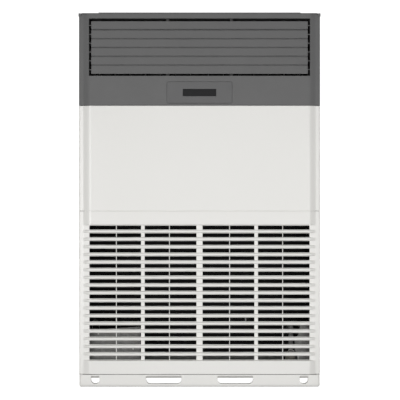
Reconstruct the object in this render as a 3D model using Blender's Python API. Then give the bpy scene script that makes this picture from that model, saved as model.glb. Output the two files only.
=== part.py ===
"""Floor standing cabinet air conditioner, 1208 x 420 x 1866 mm.

A sheet-metal cabinet on a skirt with slots.  The dark head carries the air
outlet with six tilting louvres and fourteen swinging vanes, and the control
panel.  The white body has an upper front panel and a lower front panel with
the return-air grille.  Metres, +Z up, the front faces -Y, and the origin is
the middle of the footprint at floor level.
"""
import math

import bmesh
import bpy
from mathutils import Matrix, Vector

# ---------------------------------------------------------------- dimensions
HALF_W = 0.6025         # cabinet half width
FRONT = -0.210          # main face of the front panels
BACK = 0.210            # back face of the cabinet
TOP = 1.8662            # top of the raised field of the lid

STEP = 0.012            # the edge strips lie this far behind the main face
FLAT_X = 0.5345         # the flat main face ends here
STRIP_X = 0.5842        # the edge strip starts here
STRIP_FALL = 0.0014     # and falls back this much towards the corner
CORNER_R = 0.0075       # round at the front corners
SHELL = 0.003           # wall of the moulded front panels
PANEL_BACK = -0.1720    # rear edge of the front panels' returns

BASE_TOP = 0.0622       # skirt height
BASE_X = 0.602          # skirt half width
BASE_Y = 0.202          # skirt half depth
BASE_R = 0.015          # skirt corner radius in plan
BASE_WALL = 0.0025
BASE_FLANGE = 0.032     # width of the skirt's bottom flange

LOWER_Z = (0.0662, 0.8773)      # lower front panel
UPPER_Z = (0.8787, 1.4025)      # upper front panel
HEAD_Z = (1.4045, 1.8604)       # dark head
LID_Z = 1.8630                  # top of the lid's border
LID_FLANGE_X = 0.6042           # outside of the lid's side flanges
RAISED_X = 0.5035               # half width of the lid's raised field

# return-air grille
ROWS = 18
ROW_TOP = 0.7958        # middle of the highest row
ROW_PITCH = 0.0382
SLOT_LOW, SLOT_HIGH = 0.0102, 0.0093      # slot below and above the row's axis
GROOVE_FACE = 0.028     # groove height at the face
FLOOR_LOW, FLOOR_HIGH = 0.0118, 0.01075   # groove's floor below and above it
GROOVE_DEPTH = 0.0111
GRILLE_WALL = 0.0151    # wall thickness between the grooves
SLOT_COLUMNS = ((-0.5490, -0.2916), (-0.2735, -0.0155), (0.0155, 0.2735), (0.2916, 0.5490))
RIB_X = (-0.4152, -0.1502, 0.1502, 0.4152)

# air outlet
OUTLET_X = 0.5512
OUTLET_Z = (1.551, 1.8364)
DUCT_X = 0.5517         # inner face of the duct's side plates
DUCT_Z = (1.5480, 1.8445)
DUCT_WALL = 0.0035
DUCT_Y = (-0.2038, -0.0950)
LOUVRES = 6
LOUVRE_TOP = 1.8033     # axis of the highest louvre
LOUVRE_PITCH = 0.0440
LOUVRE_Y = -0.198       # louvre axes
LOUVRE_X = 0.5400       # louvre half length
LOUVRE_HALF = 0.0192    # half height of a louvre's face
LOUVRE_END = 0.0212     # same, at the free edge of the first and the last
PIN_R = 0.0025
VANE_X = (0.045, 0.121, 0.198, 0.274, 0.350, 0.427, 0.503)
VANE_Y = -0.127         # vane axes
VANE_CHORD = 0.060
VANE_Z = (1.5545, 1.8385)
VANE_T = 0.002
VANE_PIN_R = 0.002
MULLION_X = 0.161
MULLION_W = 0.015

# control panel
PANEL_X = 0.163
PANEL_Z = (1.4137, 1.5220)
PANEL_R = 0.010
GLASS_X = 0.083
GLASS_Z = (1.4496, 1.4854)

GAP = 0.0003            # between pieces that touch

# ---------------------------------------------------------------- scene
for old in list(bpy.data.objects):
    bpy.data.objects.remove(old, do_unlink=True)

PARTS = bpy.data.collections.new("floor_standing_air_conditioner")
CUTTERS = bpy.data.collections.new("cutters")
bpy.context.scene.collection.children.link(PARTS)
bpy.context.scene.collection.children.link(CUTTERS)


def material(name, colour, roughness, metallic=0.0):
    mat = bpy.data.materials.new(name)
    mat.use_nodes = True
    shader = mat.node_tree.nodes["Principled BSDF"]
    shader.inputs["Base Color"].default_value = (*colour, 1.0)
    shader.inputs["Roughness"].default_value = roughness
    shader.inputs["Metallic"].default_value = metallic
    mat.diffuse_color = (*colour, 1.0)
    return mat


WHITE = ((0.76, 0.75, 0.72), 0.45, 0.0)
GREY = ((0.14, 0.14, 0.14), 0.50, 0.0)
BLACK = ((0.012, 0.012, 0.012), 0.85, 0.0)
ZINC = ((0.30, 0.30, 0.29), 0.45, 0.8)
COPPER = ((0.60, 0.30, 0.18), 0.35, 1.0)
GLASS = ((0.033, 0.033, 0.035), 0.15, 0.0)


# ---------------------------------------------------------------- helpers
def piece(name, mesh, finish, cutter=False):
    obj = bpy.data.objects.new(name, mesh)
    if cutter:
        CUTTERS.objects.link(obj)
        obj.hide_render = True
        obj.display_type = "WIRE"
    else:
        PARTS.objects.link(obj)
        mesh.materials.clear()
        mesh.materials.append(material(name + "_finish", *finish))
    return obj


def mesh_from(name, bm):
    bmesh.ops.recalc_face_normals(bm, faces=bm.faces)
    mesh = bpy.data.meshes.new(name)
    bm.to_mesh(mesh)
    bm.free()
    return mesh


def add_box(bm, lo, hi):
    lo, hi = Vector(lo), Vector(hi)
    size = hi - lo
    matrix = Matrix.Translation((lo + hi) / 2) @ Matrix.Diagonal((*size, 1.0))
    return bmesh.ops.create_cube(bm, size=1.0, matrix=matrix)["verts"]


def add_rod(bm, centre, axis, radius, length, sides=12):
    turn = {"X": Matrix.Rotation(math.pi / 2, 4, "Y"),
            "Y": Matrix.Rotation(math.pi / 2, 4, "X"),
            "Z": Matrix.Identity(4)}[axis]
    bmesh.ops.create_cone(bm, cap_ends=True, segments=sides, radius1=radius,
                          radius2=radius, depth=length,
                          matrix=Matrix.Translation(centre) @ turn)


def boxes(name, spans):
    bm = bmesh.new()
    for lo, hi in spans:
        add_box(bm, lo, hi)
    return mesh_from(name, bm)


def outline(name, points, low, high, plane="XY"):
    """A closed flat outline filled and extruded from low to high.

    plane XY extrudes along Z, XZ along Y and YZ along X.
    """
    curve = bpy.data.curves.new(name + "_outline", "CURVE")
    curve.dimensions = "2D"
    curve.fill_mode = "BOTH"
    curve.extrude = (high - low) / 2
    spline = curve.splines.new("POLY")
    spline.points.add(len(points) - 1)
    # the outline is filled a little askew, because level edges in one line
    # with each other don't fill cleanly
    cos, sin = math.cos(0.3), math.sin(0.3)
    for point, (u, v) in zip(spline.points, points):
        point.co = (u * cos - v * sin, u * sin + v * cos, 0.0, 1.0)
    spline.use_cyclic_u = True
    holder = bpy.data.objects.new(name + "_outline", curve)
    bpy.context.scene.collection.objects.link(holder)
    bpy.context.view_layer.update()
    graph = bpy.context.evaluated_depsgraph_get()
    mesh = bpy.data.meshes.new_from_object(holder.evaluated_get(graph))
    bpy.data.objects.remove(holder, do_unlink=True)
    bpy.data.curves.remove(curve)
    middle = (low + high) / 2
    turn = {"XY": Matrix(((1, 0, 0, 0), (0, 1, 0, 0), (0, 0, 1, middle), (0, 0, 0, 1))),
            "XZ": Matrix(((1, 0, 0, 0), (0, 0, -1, middle), (0, 1, 0, 0), (0, 0, 0, 1))),
            "YZ": Matrix(((0, 0, 1, middle), (1, 0, 0, 0), (0, 1, 0, 0), (0, 0, 0, 1)))}[plane]
    bm = bmesh.new()
    bm.from_mesh(mesh)
    bmesh.ops.remove_doubles(bm, verts=bm.verts, dist=0.00001)
    bmesh.ops.transform(bm, matrix=turn @ Matrix.Rotation(-0.3, 4, "Z"), verts=bm.verts)
    bpy.data.meshes.remove(mesh)
    return mesh_from(name, bm)


def combine(target, tool, operation):
    mod = target.modifiers.new(operation.lower(), "BOOLEAN")
    mod.operation = operation
    mod.solver = "EXACT"
    mod.object = tool


def cut(target, mesh):
    combine(target, piece("cut_" + target.name, mesh, None, cutter=True), "DIFFERENCE")


def join(target, mesh):
    combine(target, piece("join_" + target.name, mesh, None, cutter=True), "UNION")


def arc(cx, cy, radius, start, stop, steps):
    return [(cx + radius * math.cos(math.radians(start + (stop - start) * i / steps)),
             cy + radius * math.sin(math.radians(start + (stop - start) * i / steps)))
            for i in range(steps + 1)]


def round_rect(x0, x1, z0, z1, radius, steps=4):
    return (arc(x1 - radius, z0 + radius, radius, -90, 0, steps)
            + arc(x1 - radius, z1 - radius, radius, 0, 90, steps)
            + arc(x0 + radius, z1 - radius, radius, 90, 180, steps)
            + arc(x0 + radius, z0 + radius, radius, 180, 270, steps))


def smooth(t):
    t = min(1.0, max(0.0, t))
    return t * t * (3 - 2 * t)


# ---------------------------------------------------------------- front panels
def bevel_points(steps=7):
    """The curve from the main face back to the edge strip, steepest near the strip."""
    return [(FLAT_X + (STRIP_X - FLAT_X) * i / steps, FRONT + STEP * smooth((i / steps) ** 1.4))
            for i in range(steps + 1)]


def face_right():
    """Plan outline of a front panel's outside, from the middle to the right."""
    points = bevel_points()
    points += arc(HALF_W - CORNER_R, FRONT + STEP + STRIP_FALL + CORNER_R, CORNER_R, -83, 0, 4)
    return points


def mirrored(points):
    return points + [(-x, y) for x, y in reversed(points)]


def panel_shell(name, z, finish, thick=False):
    """A moulded front panel: face, side returns, top and bottom returns."""
    outside = mirrored(face_right() + [(HALF_W, PANEL_BACK)])
    obj = piece(name, outline(name, outside, z[0], z[1]), finish)
    side = HALF_W - SHELL
    corner = arc(HALF_W - CORNER_R, FRONT + STEP + STRIP_FALL + CORNER_R, CORNER_R - SHELL,
                 -90, 0, 2)
    if thick:
        inner = [(STRIP_X, FRONT + GRILLE_WALL)] + corner
    else:
        inner = [(x, y + SHELL) for x, y in bevel_points()] + corner
    hollow = mirrored(inner + [(side, PANEL_BACK + 0.02)])
    cut(obj, outline(name + "_hollow", hollow, z[0] + SHELL, z[1] - SHELL))
    return obj


upper = panel_shell("upper_front_panel", UPPER_Z, WHITE)
lower = panel_shell("lower_front_panel", LOWER_Z, WHITE, thick=True)

row_z = [ROW_TOP - ROW_PITCH * i for i in range(ROWS)]
grooves = bmesh.new()
for z in row_z:
    # trapezoid groove: taller at the face than at its floor
    verts = add_box(grooves, (-0.592, FRONT - GROOVE_DEPTH, z - GROOVE_FACE / 2),
                    (0.592, FRONT + GROOVE_DEPTH, z + GROOVE_FACE / 2))
    for vert in verts:
        side, floor = (1, FLOOR_HIGH) if vert.co.z > z else (-1, FLOOR_LOW)
        if vert.co.y > FRONT:
            vert.co.z = z + side * floor
        else:
            vert.co.z = z + side * (GROOVE_FACE - floor)
cut(lower, mesh_from("grille_grooves", grooves))
cut(lower, boxes("grille_slots", [
    ((x0, FRONT - 0.01, z - SLOT_LOW), (x1, FRONT + 0.03, z + SLOT_HIGH))
    for z in row_z for x0, x1 in SLOT_COLUMNS]))
join(lower, boxes("grille_ribs", [
    ((x - 0.0017, FRONT + GRILLE_WALL - 0.002, row_z[-1] - 0.02),
     (x + 0.0017, FRONT + GRILLE_WALL + 0.006, row_z[0] + 0.02)) for x in RIB_X]))

bezel = panel_shell("head_bezel", HEAD_Z, GREY)
cut(bezel, boxes("outlet_opening", [
    ((-OUTLET_X, FRONT - 0.02, OUTLET_Z[0]), (OUTLET_X, FRONT + 0.03, OUTLET_Z[1]))]))
cut(bezel, outline("panel_opening", round_rect(-PANEL_X, PANEL_X, *PANEL_Z, PANEL_R),
                   FRONT - 0.02, FRONT + 0.03, "XZ"))

# ---------------------------------------------------------------- control panel
edge = 0.0010
control = piece("control_panel", outline(
    "control_panel", round_rect(-PANEL_X + edge, PANEL_X - edge, PANEL_Z[0] + 1.6 * edge,
                                PANEL_Z[1] - edge, PANEL_R - edge),
    FRONT + 0.0002, FRONT + 0.0060, "XZ"), GREY)
join(control, boxes("control_flange", [
    ((-PANEL_X - 0.006, FRONT + SHELL + 0.0005, PANEL_Z[0] - 0.0045),
     (PANEL_X + 0.006, FRONT + 0.0120, PANEL_Z[1] + 0.006))]))
cut(control, boxes("display_recess", [
    ((-GLASS_X - GAP, FRONT - 0.01, GLASS_Z[0] - GAP),
     (GLASS_X + GAP, FRONT + 0.0045, GLASS_Z[1] + GAP))]))
piece("display_window", boxes("display_window", [
    ((-GLASS_X, FRONT + 0.0004, GLASS_Z[0]), (GLASS_X, FRONT + 0.0045 - GAP, GLASS_Z[1]))]),
      GLASS)

# ---------------------------------------------------------------- air duct
x_out = DUCT_X + DUCT_WALL
louvre_z = [LOUVRE_TOP - LOUVRE_PITCH * i for i in range(LOUVRES)]
vane_x = [-x for x in reversed(VANE_X)] + list(VANE_X)
for side, name in ((-1, "duct_side_left"), (1, "duct_side_right")):
    xs = sorted((side * DUCT_X, side * x_out))
    plate = piece(name, boxes(name, [
        ((xs[0], DUCT_Y[0], DUCT_Z[0] - DUCT_WALL), (xs[1], DUCT_Y[1], DUCT_Z[1] + DUCT_WALL))]),
        GREY)
    holes = bmesh.new()
    for z in louvre_z:
        add_rod(holes, (side * (DUCT_X + 0.002), LOUVRE_Y, z), "X", PIN_R + 0.0005, 0.02, 12)
    cut(plate, mesh_from(name + "_holes", holes))

for name, z0, z1 in (("duct_floor", DUCT_Z[0] - DUCT_WALL, DUCT_Z[0]),
                     ("duct_roof", DUCT_Z[1], DUCT_Z[1] + DUCT_WALL)):
    plate = piece(name, boxes(name, [
        ((-DUCT_X + GAP, DUCT_Y[0], z0), (DUCT_X - GAP, DUCT_Y[1], z1))]), GREY)
    holes = bmesh.new()
    for x in vane_x:
        add_rod(holes, (x, VANE_Y, (z0 + z1) / 2), "Z", VANE_PIN_R + 0.0005, 0.02, 8)
    cut(plate, mesh_from(name + "_holes", holes))

for side, name in ((-1, "outlet_mullion_left"), (1, "outlet_mullion_right")):
    x = side * MULLION_X
    piece(name, boxes(name, [
        ((x - MULLION_W / 2, VANE_Y - 0.031, DUCT_Z[0] + GAP),
         (x + MULLION_W / 2, DUCT_Y[1], DUCT_Z[1] - GAP))]), GREY)

# ---------------------------------------------------------------- louvres
# Front plate with a lip at its lower edge that covers the gap to the next one.
for i, z in enumerate(louvre_z):
    top = LOUVRE_END if i == 0 else LOUVRE_HALF
    if i < LOUVRES - 1:
        low = -LOUVRE_HALF + (0.0014 if i == 0 else 0.0)
        section = [(-0.003, low), (0.006, low), (0.006, low - 0.0112), (0.0085, low - 0.0112),
                   (0.0085, low + 0.0025), (0.001, low + 0.0025), (0.001, top), (-0.003, top)]
    else:
        low = -LOUVRE_END
        section = [(-0.003, low), (0.001, low), (0.001, top), (-0.003, top)]
    name = "louvre_%d" % (i + 1)
    blade = piece(name, outline(name, section, -LOUVRE_X, LOUVRE_X, "YZ"), GREY)
    pins = bmesh.new()
    for side in (-1, 1):
        add_rod(pins, (side * (LOUVRE_X + 0.0033), 0, 0), "X", PIN_R, 0.023, 12)
    pin_mesh = mesh_from(name + "_pins", pins)
    blade.location = (0, LOUVRE_Y, z)
    tool = piece("join_" + name, pin_mesh, None, cutter=True)
    tool.location = blade.location
    combine(blade, tool, "UNION")

# ---------------------------------------------------------------- vanes
for i, x in enumerate(vane_x):
    name = "vane_%02d" % (i + 1)
    middle = (VANE_Z[0] + VANE_Z[1]) / 2
    half = (VANE_Z[1] - VANE_Z[0]) / 2
    blade = piece(name, boxes(name, [
        ((-VANE_T / 2, -VANE_CHORD / 2, -half), (VANE_T / 2, VANE_CHORD / 2, half))]), GREY)
    pins = bmesh.new()
    for side in (-1, 1):
        add_rod(pins, (0, 0, side * (half + 0.0030)), "Z", VANE_PIN_R, 0.0140, 8)
    tool = piece("join_" + name, mesh_from(name + "_pins", pins), None, cutter=True)
    blade.location = tool.location = (x, VANE_Y, middle)
    combine(blade, tool, "UNION")

# ---------------------------------------------------------------- plenum
# Foam-faced boards behind the duct, open to the front, with the blower's
# throat in the lowest one.
PLENUM_X, PLENUM_Z, PLENUM_BACK, BOARD = 0.5660, (1.5030, 1.8560), 0.1900, 0.0060
plenum_y = (DUCT_Y[1] - 0.012, PLENUM_BACK)
piece("plenum_back", boxes("plenum_back", [
    ((-PLENUM_X, PLENUM_BACK + GAP, PLENUM_Z[0]),
     (PLENUM_X, PLENUM_BACK + BOARD, PLENUM_Z[1]))]), BLACK)
piece("plenum_roof", boxes("plenum_roof", [
    ((-PLENUM_X, plenum_y[0], PLENUM_Z[1] - BOARD), (PLENUM_X, plenum_y[1], PLENUM_Z[1]))]),
      BLACK)
plenum_floor = piece("plenum_floor", boxes("plenum_floor", [
    ((-PLENUM_X, plenum_y[0], PLENUM_Z[0]), (PLENUM_X, plenum_y[1], PLENUM_Z[0] + BOARD))]),
                     BLACK)
cut(plenum_floor, boxes("blower_throat", [
    ((-0.32, 0.0, PLENUM_Z[0] - 0.02), (0.32, 0.14, PLENUM_Z[0] + 0.02))]))
for side, name in ((-1, "plenum_left"), (1, "plenum_right")):
    xs = sorted((side * PLENUM_X, side * (PLENUM_X - BOARD)))
    piece(name, boxes(name, [
        ((xs[0], plenum_y[0], PLENUM_Z[0] + BOARD + GAP),
         (xs[1], plenum_y[1], PLENUM_Z[1] - BOARD - GAP))]), BLACK)

# ---------------------------------------------------------------- cabinet shell
SIDE_T = 0.0030
SIDE_FRONT = PANEL_BACK + GAP
WRAP = 0.026            # the side sheets turn round the back corners by this much


def side_sheet(name, side, z, finish):
    x = HALF_W
    points = [(x, SIDE_FRONT)] + [(x, BACK - 0.004), (x - 0.0012, BACK - 0.0012),
                                  (x - 0.004, BACK)] + [
        (x - WRAP, BACK), (x - WRAP, BACK - SIDE_T), (x - SIDE_T, BACK - SIDE_T),
        (x - SIDE_T, SIDE_FRONT)]
    points = [(side * px, py) for px, py in points]
    return piece(name, outline(name, points, z[0], z[1]), finish)


BODY_Z = (LOWER_Z[0], UPPER_Z[1])
for side, tag in ((-1, "left"), (1, "right")):
    side_sheet("side_panel_" + tag, side, BODY_Z, WHITE)
    side_sheet("head_side_" + tag, side, HEAD_Z, GREY)

back_x = HALF_W - SIDE_T - 0.0006
back_y = (BACK - SIDE_T - GAP - 0.0030, BACK - SIDE_T - GAP)
piece("back_panel", boxes("back_panel", [
    ((-back_x, back_y[0], BODY_Z[0]), (back_x, back_y[1], BODY_Z[1]))]), WHITE)
piece("head_back", boxes("head_back", [
    ((-back_x, back_y[0], HEAD_Z[0]), (back_x, back_y[1], HEAD_Z[1]))]), GREY)

# Square posts behind the front corners carry the panels and the lid.
for side, tag in ((-1, "left"), (1, "right")):
    xs = sorted((side * 0.5745, side * 0.5985))
    post = piece("corner_post_" + tag, boxes("corner_post_" + tag, [
        ((xs[0], SIDE_FRONT, 0.0708), (xs[1], SIDE_FRONT + 0.022, HEAD_Z[1]))]), ZINC)

# ---------------------------------------------------------------- lid
lid_z = HEAD_Z[1] + GAP
lid_plan = mirrored([(0.5877, FRONT), (0.5885, FRONT + 0.0008), (0.5885, FRONT + 0.020),
                     (0.5910, FRONT + 0.020), (0.5910, FRONT + 0.0046), (HALF_W, FRONT + 0.0046),
                     (HALF_W, BACK)])
lid = piece("top_lid", outline("top_lid", lid_plan, lid_z, LID_Z), GREY)
raised = [(x, y) for x, y in round_rect(-RAISED_X, RAISED_X, FRONT + 0.0012, BACK - 0.030,
                                        0.004, 2)]
join(lid, outline("lid_field", raised, LID_Z - 0.001, TOP))
for side in (-1, 1):
    flange = [(HALF_W - 0.006, lid_z + 0.0002), (HALF_W + GAP, lid_z + 0.0002),
              (HALF_W + GAP, LID_Z - 0.0126), (LID_FLANGE_X, LID_Z - 0.0126),
              (LID_FLANGE_X, LID_Z - 0.0008), (LID_FLANGE_X - 0.0005, LID_Z - 0.0003),
              (HALF_W - 0.006, LID_Z - 0.0003)]
    join(lid, outline("lid_flange", [(side * x, z) for x, z in flange],
                      FRONT + 0.0150, BACK - 0.002, "XZ"))
    # the flange's short return in front of the edge strip
    xs = sorted((side * 0.5911, side * (HALF_W - 0.0010)))
    join(lid, boxes("lid_ear", [
        ((xs[0], FRONT + 0.0046, LID_Z - 0.0124), (xs[1], FRONT + 0.0066, LID_Z - 0.0006))]))

# ---------------------------------------------------------------- skirt
def tray(name, inset, z0, z1, roll):
    """Rounded block with a rolled bottom edge."""
    x, y, r = BASE_X - inset, BASE_Y - inset, BASE_R - inset
    plan = (arc(x - r, -y + r, r, -90, 0, 4) + arc(x - r, y - r, r, 0, 90, 4)
            + arc(-x + r, y - r, r, 90, 180, 4) + arc(-x + r, -y + r, r, 180, 270, 4))
    steps = 3
    bm = bmesh.new()
    rings = []
    levels = [(roll * (1 - math.cos(math.radians(90 * (1 - i / steps)))),
               z0 + roll * (1 - math.sin(math.radians(90 * (1 - i / steps)))))
              for i in range(steps + 1)]
    levels = [(roll * (1 - math.sin(math.radians(90 * i / steps))),
               z0 + roll * (1 - math.cos(math.radians(90 * i / steps))))
              for i in range(steps + 1)] + [(0.0, z1)]
    for back, z in levels:
        ring = []
        for px, py in plan:
            cx = math.copysign(x - r, px)
            cy = math.copysign(y - r, py)
            dx, dy = px - cx, py - cy
            k = (r - back) / r
            ring.append(bm.verts.new((cx + dx * k, cy + dy * k, z)))
        rings.append(ring)
    count = len(plan)
    for lower_ring, upper_ring in zip(rings, rings[1:]):
        for i in range(count):
            j = (i + 1) % count
            bm.faces.new((lower_ring[i], lower_ring[j], upper_ring[j], upper_ring[i]))
    bm.faces.new(reversed(rings[0]))
    bm.faces.new(rings[-1])
    bmesh.ops.remove_doubles(bm, verts=bm.verts, dist=0.000001)
    return mesh_from(name, bm)


def foot_hole(x0, x1):
    """Slot with a straight top and round lower corners."""
    radius = min(0.022, (x1 - x0) / 2 - 0.0002)
    low, high = 0.0166, 0.0560
    return (arc(x1 - radius, low + radius, radius, -90, 0, 6)
            + arc(x1 - 0.003, high - 0.003, 0.003, 0, 90, 2)
            + arc(x0 + 0.003, high - 0.003, 0.003, 90, 180, 2)
            + arc(x0 + radius, low + radius, radius, 180, 270, 6))


FOOT_HOLES = ((-0.5412, -0.4998), (-0.2665, -0.0905), (0.0905, 0.2665), (0.4998, 0.5412))
RETURN_Y = 0.150        # the front and back skirts' corners run back to here
spans = {
    "base_front": ((-0.7, -0.3, -0.1), (0.7, -RETURN_Y, 0.2)),
    "base_back": ((-0.7, RETURN_Y, -0.1), (0.7, 0.3, 0.2)),
    "base_left": ((-0.7, -RETURN_Y + GAP, -0.1), (-0.3, RETURN_Y - GAP, 0.2)),
    "base_right": ((0.3, -RETURN_Y + GAP, -0.1), (0.7, RETURN_Y - GAP, 0.2)),
}
for name, (lo, hi) in spans.items():
    part = piece(name, tray(name, 0.0, 0.0, BASE_TOP, 0.008), WHITE)
    cut(part, tray(name + "_hollow", BASE_WALL, BASE_WALL, BASE_TOP + 0.01, 0.0055))
    inner = BASE_FLANGE
    cut(part, boxes(name + "_open", [
        ((-BASE_X + inner, -BASE_Y + inner, -0.01), (BASE_X - inner, BASE_Y - inner, 0.03))]))
    keep = piece("keep_" + name, boxes("keep_" + name, [(lo, hi)]), None, cutter=True)
    combine(part, keep, "INTERSECT")
    if name in ("base_front", "base_back"):
        side = -1 if name == "base_front" else 1
        for number, (x0, x1) in enumerate(FOOT_HOLES):
            ys = sorted((side * 0.19, side * 0.22))
            cut(part, outline("%s_hole_%d" % (name, number), foot_hole(x0, x1), ys[0], ys[1],
                              "XZ"))
        # a tab turned in and down at the top of each hole
        wall = BASE_Y - BASE_WALL + 0.0006
        section = [(wall, 0.0592), (wall, 0.0565), (wall - 0.0130, 0.0427),
                   (wall - 0.0156, 0.0427), (wall - 0.0026, 0.0565), (wall - 0.0026, 0.0592)]
        for x0, x1 in FOOT_HOLES:
            join(part, outline(name + "_tab", [(side * y, z) for y, z in section],
                               x0 - 0.004, x1 + 0.004, "YZ"))

piece("base_pan", boxes("base_pan", [
    ((-0.5960, PANEL_BACK + 0.002, BASE_TOP + GAP), (0.5960, 0.2025, 0.0705))]), ZINC)
join(PARTS.objects["base_pan"], boxes("base_pan_lip", [
    ((-0.5780, 0.1900, 0.0690), (0.5780, 0.1925, 0.0900))]))

piece("base_seal", boxes("base_seal", [
    ((-0.5300, -BASE_Y + BASE_WALL + GAP, 0.0600), (0.5300, -BASE_Y + 0.0070, LOWER_Z[0] - GAP))]),
      BLACK)

# ---------------------------------------------------------------- inside
piece("middle_shelf", boxes("middle_shelf", [
    ((-0.5740, PANEL_BACK + 0.002, 0.8930), (0.5740, 0.2025, 0.8960))]), BLACK)

lining = [(0.5987, -0.1450), (0.5987, 0.2025), (-0.5987, 0.2025), (-0.5987, -0.1450),
          (-0.5907, -0.1450), (-0.5907, 0.1945), (0.5907, 0.1945), (0.5907, -0.1450)]
piece("foam_lining", outline("foam_lining", lining, 0.0708, 0.8927), BLACK)

housing = outline("electrical_box", [
    (-0.5820, 0.0708), (-0.3005, 0.0708), (-0.3005, 0.2924), (-0.5820, 0.2760)],
    -0.1440, 0.0400, "XZ")
for vert in housing.vertices:
    # the roof falls to the back
    if vert.co.z > 0.2 and vert.co.y > 0.0:
        vert.co.z -= 0.0420
piece("electrical_box", housing, ZINC)

bracket = piece("valve_plate", outline("valve_plate", [
    (0.4955, 0.0708), (0.5880, 0.0708), (0.5880, 0.3120), (0.5076, 0.3120), (0.5076, 0.2900),
    (0.4985, 0.2500), (0.4813, 0.2280), (0.4813, 0.1720), (0.4955, 0.1600)],
    -0.1400, -0.1370, "XZ"), ZINC)
join(bracket, boxes("valve_plate_foot", [
    ((0.5000, -0.1385, 0.0708), (0.5880, -0.0800, 0.0738))]))


def tube(name, route, radius, finish, steps=8):
    """Round pipe along a smooth route."""
    curve = bpy.data.curves.new(name + "_route", "CURVE")
    curve.dimensions = "3D"
    curve.bevel_depth = radius
    curve.bevel_resolution = 2
    curve.use_fill_caps = True
    spline = curve.splines.new("POLY")
    spline.points.add(len(route) - 1)
    for point, co in zip(spline.points, route):
        point.co = (*co, 1.0)
    holder = bpy.data.objects.new(name + "_route", curve)
    bpy.context.scene.collection.objects.link(holder)
    bpy.context.view_layer.update()
    graph = bpy.context.evaluated_depsgraph_get()
    mesh = bpy.data.meshes.new_from_object(holder.evaluated_get(graph))
    bpy.data.objects.remove(holder, do_unlink=True)
    bpy.data.curves.remove(curve)
    bm = bmesh.new()
    bm.from_mesh(mesh)
    bmesh.ops.remove_doubles(bm, verts=bm.verts, dist=0.00001)
    bpy.data.meshes.remove(mesh)
    return piece(name, mesh_from(name, bm), finish)


def bend(corners, radius, steps=4):
    """Route through the corners with round bends."""
    corners = [Vector(c) for c in corners]
    points = [corners[0]]
    for before, at, after in zip(corners, corners[1:], corners[2:]):
        a, b = (before - at).normalized(), (after - at).normalized()
        reach = radius
        start, stop = at + a * reach, at + b * reach
        for i in range(steps + 1):
            t = i / steps
            points.append(start * (1 - t) ** 2 + at * 2 * t * (1 - t) + stop * t ** 2)
    points.append(corners[-1])
    return points


valve = piece("service_valve", boxes("service_valve", [
    ((0.4380, -0.1220, 0.0708), (0.4830, -0.0840, 0.1590))]), COPPER)
cap = bmesh.new()
add_rod(cap, (0.4600, -0.1240, 0.1330), "Y", 0.0120, 0.0200, 6)
join(valve, mesh_from("service_valve_cap", cap))
tube("gas_pipe", bend([(0.4655, -0.1030, 0.1593), (0.4655, -0.1030, 0.3040),
                       (0.4655, 0.1890, 0.1998)], 0.035), 0.0130, BLACK)
tube("liquid_pipe", bend([(0.4405, -0.0600, 0.0715), (0.4405, -0.0600, 0.2900),
                          (0.4405, 0.1910, 0.1992)], 0.030), 0.0065, BLACK)
piece("sensor_clip", boxes("sensor_clip", [
    ((0.2275, FRONT + GRILLE_WALL + GAP, 0.3230), (0.2335, FRONT + GRILLE_WALL + 0.0060, 0.3550))]),
      ZINC)

# ---------------------------------------------------------------- shading
bpy.context.view_layer.update()
for obj in PARTS.objects:
    obj.data.shade_smooth()
    obj.data.set_sharp_from_angle(angle=math.radians(32))
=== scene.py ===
"""Looks of a floor standing cabinet air conditioner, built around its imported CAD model."""
import math

import bmesh
import bpy
import numpy as np
from mathutils import Matrix, Vector
from mathutils.geometry import delaunay_2d_cdt

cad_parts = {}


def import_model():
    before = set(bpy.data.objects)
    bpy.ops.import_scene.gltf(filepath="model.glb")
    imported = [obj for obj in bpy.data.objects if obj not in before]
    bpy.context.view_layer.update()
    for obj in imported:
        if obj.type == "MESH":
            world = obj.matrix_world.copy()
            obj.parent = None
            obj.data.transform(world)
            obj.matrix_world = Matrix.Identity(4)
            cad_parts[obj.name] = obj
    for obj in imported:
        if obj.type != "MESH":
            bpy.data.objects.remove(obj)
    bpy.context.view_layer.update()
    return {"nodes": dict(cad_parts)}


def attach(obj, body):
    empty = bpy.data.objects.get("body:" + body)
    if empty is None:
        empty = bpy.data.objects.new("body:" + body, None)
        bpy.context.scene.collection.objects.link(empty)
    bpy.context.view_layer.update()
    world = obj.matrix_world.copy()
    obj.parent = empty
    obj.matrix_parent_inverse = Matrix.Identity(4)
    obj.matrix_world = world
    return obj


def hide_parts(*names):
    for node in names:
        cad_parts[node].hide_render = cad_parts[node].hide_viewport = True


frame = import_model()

NODES = frame["nodes"]

# ================================================================ dimensions
HALF_W, FRONT, BACK = 0.6025, -0.210, 0.210
STEP, FLAT_X, STRIP_X, STRIP_FALL, CORNER_R = 0.012, 0.5345, 0.5842, 0.0014, 0.0075
PANEL_BACK = -0.1720
SHELL = 0.003
BASE_TOP, BASE_X, BASE_Y, BASE_R, BASE_WALL = 0.0622, 0.602, 0.202, 0.015, 0.0025
LOWER_Z, UPPER_Z, HEAD_Z = (0.0662, 0.8773), (0.8787, 1.4025), (1.4045, 1.8604)
LID_Z, TOP, LID_FLANGE_X, RAISED_X = 1.8630, 1.8662, 0.6042, 0.5035
ROWS, ROW_TOP, ROW_PITCH, SLOT_LOW, SLOT_HIGH = 18, 0.7958, 0.0382, 0.0102, 0.0093
GROOVE_FACE, FLOOR_LOW, FLOOR_HIGH, GROOVE_DEPTH, GRILLE_WALL = 0.028, 0.0118, 0.01075, 0.0111, 0.0151
SLOT_COLUMNS = ((-0.5490, -0.2916), (-0.2735, -0.0155), (0.0155, 0.2735), (0.2916, 0.5490))
RIB_X = (-0.4152, -0.1502, 0.1502, 0.4152)
OUTLET_X, OUTLET_Z = 0.5512, (1.551, 1.8364)
LOUVRES, LOUVRE_TOP, LOUVRE_PITCH, LOUVRE_Y = 6, 1.8033, 0.0440, -0.198
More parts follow.
